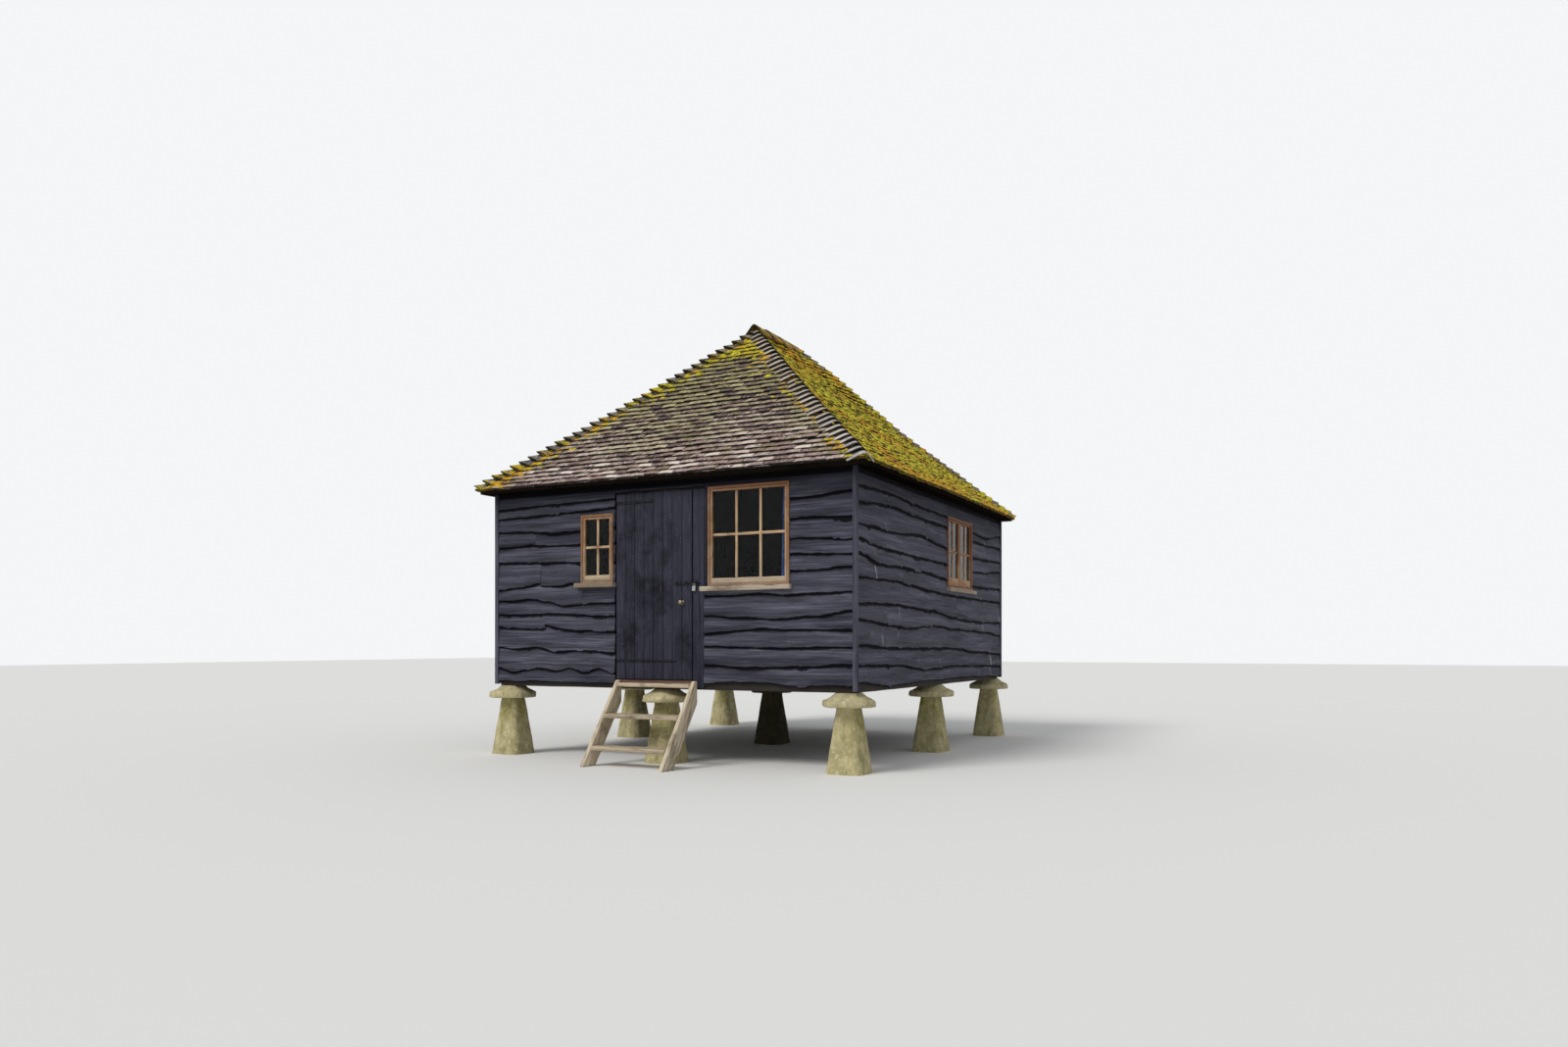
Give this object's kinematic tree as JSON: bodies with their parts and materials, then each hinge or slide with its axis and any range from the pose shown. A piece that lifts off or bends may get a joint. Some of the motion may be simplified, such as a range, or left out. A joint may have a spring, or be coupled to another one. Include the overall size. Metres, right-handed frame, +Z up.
{
  "type": "timber granary on staddle stones",
  "caption": "Small square-planned timber granary raised on mushroom staddle stones, with black waney-edge boarding, a hipped clay-tile roof, a boarded door that swings and loose timber steps.",
  "frame": {"origin": "centre of the underside of the middle staddle post, on the ground", "axes": "+Z up, the door wall faces -Y, +X to the right along the door wall"},
  "size_m": [4.584, 5.617, 4.9329],
  "materials": {
    "limestone": "weathered limestone with algae",
    "floor_timber": "sawn oak, dark with age",
    "black_boards": "waney boards, black stained",
    "bare_plank": "bare red-brown timber",
    "roof_tiles": "plain clay tiles, lichened",
    "moss_tiles": "plain clay tiles under moss",
    "bonnet_tiles": "pale weathered bonnet tiles",
    "ridge_clay": "terracotta ridge tiles",
    "window_oak": "weathered oiled oak",
    "grey_oak": "bare grey weathered oak",
    "glass": "old window glass",
    "curtain_cloth": "blue cotton",
    "ironwork": "black painted iron",
    "lock_steel": "worn steel",
    "knob_brass": "dull brass"
  },
  "bodies": {
    "root": {"front_staddle_posts": "limestone", "middle_staddle_posts": "limestone", "back_staddle_posts": "limestone", "front_staddle_caps": "limestone", "middle_staddle_caps": "limestone", "back_staddle_caps": "limestone", "floor_beams": "floor_timber", "side_sill_beams": "floor_timber", "floor_joists": "floor_timber", "floor": "floor_timber", "front_wall_left": "black_boards", "front_wall_right": "black_boards", "front_wall_over_door": "black_boards", "back_wall": "black_boards", "left_wall": "black_boards", "right_wall": "black_boards", "front_boards": "black_boards", "back_boards": "black_boards", "left_boards": "black_boards", "right_boards": "black_boards", "corner_battens": "black_boards", "door_side_boards": "black_boards", "door_sill": "bare_plank", "small_window_frame": "window_oak", "large_window_frame": "window_oak", "side_window_frame": "window_oak", "window_sills": "grey_oak", "window_glass": "glass", "curtain_rail": "floor_timber", "curtain": "curtain_cloth", "front_roof_slope": "roof_tiles", "back_roof_slope": "roof_tiles", "left_roof_slope": "roof_tiles", "right_roof_slope": "moss_tiles", "hip_tiles": "bonnet_tiles", "ridge_tiles": "ridge_clay", "hinge_pins": "ironwork", "hasp_staple": "ironwork", "step_strings": "grey_oak", "step_treads": "grey_oak"},
    "door": {"door_leaf": "black_boards", "door_ledges": "black_boards", "strap_hinges": "ironwork", "hasp": "ironwork", "padlock": "lock_steel", "door_knob": "knob_brass"}
  },
  "joints": [
    {"name": "door_swing", "type": "hinge", "parent": "root", "child": "door", "pos_m": [-0.537, -2.423, 1.02], "axis": [0, 0, -1], "range_deg": [0, 100]}
  ]
}
